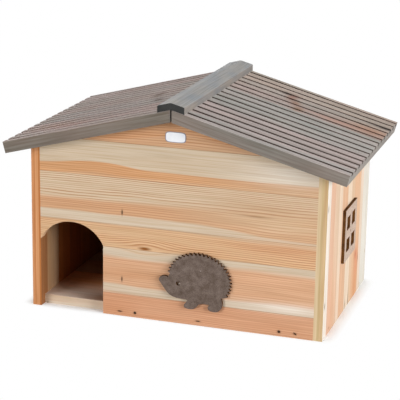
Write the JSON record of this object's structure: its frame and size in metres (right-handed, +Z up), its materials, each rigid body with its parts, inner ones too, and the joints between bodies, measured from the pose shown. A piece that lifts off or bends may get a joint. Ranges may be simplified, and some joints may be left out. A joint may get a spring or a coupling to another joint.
{
  "type": "hedgehog house",
  "caption": "Gabled pine hedgehog house with an arched side entrance, an inner partition, a ribbed lift-off roof with a ridge cap, and cut-out hedgehog and window plates.",
  "frame": {"origin": "centre of the walls' footprint, on the ground", "axes": "+X to the right across the gable, +Y to the rear, +Z up; the entrance is in the -Y face"},
  "size_m": [0.5658, 0.38, 0.3653],
  "materials": {
    "pine_floor": "planed pine, uncoated",
    "pine_side_wall": "planed edge-glued pine, upright grain, clear coat",
    "pine_gable": "planed edge-glued pine, level grain, clear coat",
    "pine_framing": "sawn pine, uncoated",
    "stained_roof_board": "grooved pine, grey-brown stain",
    "stained_ridge_cap": "planed pine moulding, grey stain",
    "dark_fibreboard": "stained fibreboard with burnt cut edges",
    "white_plastic": "smooth white plastic, bare",
    "zinc_wire": "dull zinc-coated wire",
    "zinc_screw": "yellow zinc"
  },
  "bodies": {
    "house": {"floor_board": "pine_floor", "left_wall": "pine_side_wall", "right_wall": "pine_side_wall", "front_wall": "pine_gable", "rear_wall": "pine_gable", "partition_wall": "pine_floor", "hedgehog_plate": "dark_fibreboard", "window_plate": "dark_fibreboard", "blank_label": "white_plastic", "front_wall_staples": "zinc_wire", "front_wall_nails": "zinc_wire", "rear_wall_staples": "zinc_wire", "rear_wall_nails": "zinc_wire", "left_wall_staples": "zinc_wire", "right_wall_staples": "zinc_wire", "partition_nails": "zinc_wire", "plate_brads": "zinc_wire"},
    "roof": {"left_roof_panel": "stained_roof_board", "right_roof_panel": "stained_roof_board", "ridge_cap": "stained_ridge_cap", "ridge_beam": "pine_framing", "left_eave_batten": "pine_framing", "right_eave_batten": "pine_framing", "ridge_screws": "zinc_screw", "batten_screws": "zinc_screw"}
  },
  "joints": [
    {"name": "roof_lift", "type": "slide", "parent": "house", "child": "roof", "axis": [0, 0, 1], "range_m": [0, 0.15]}
  ]
}
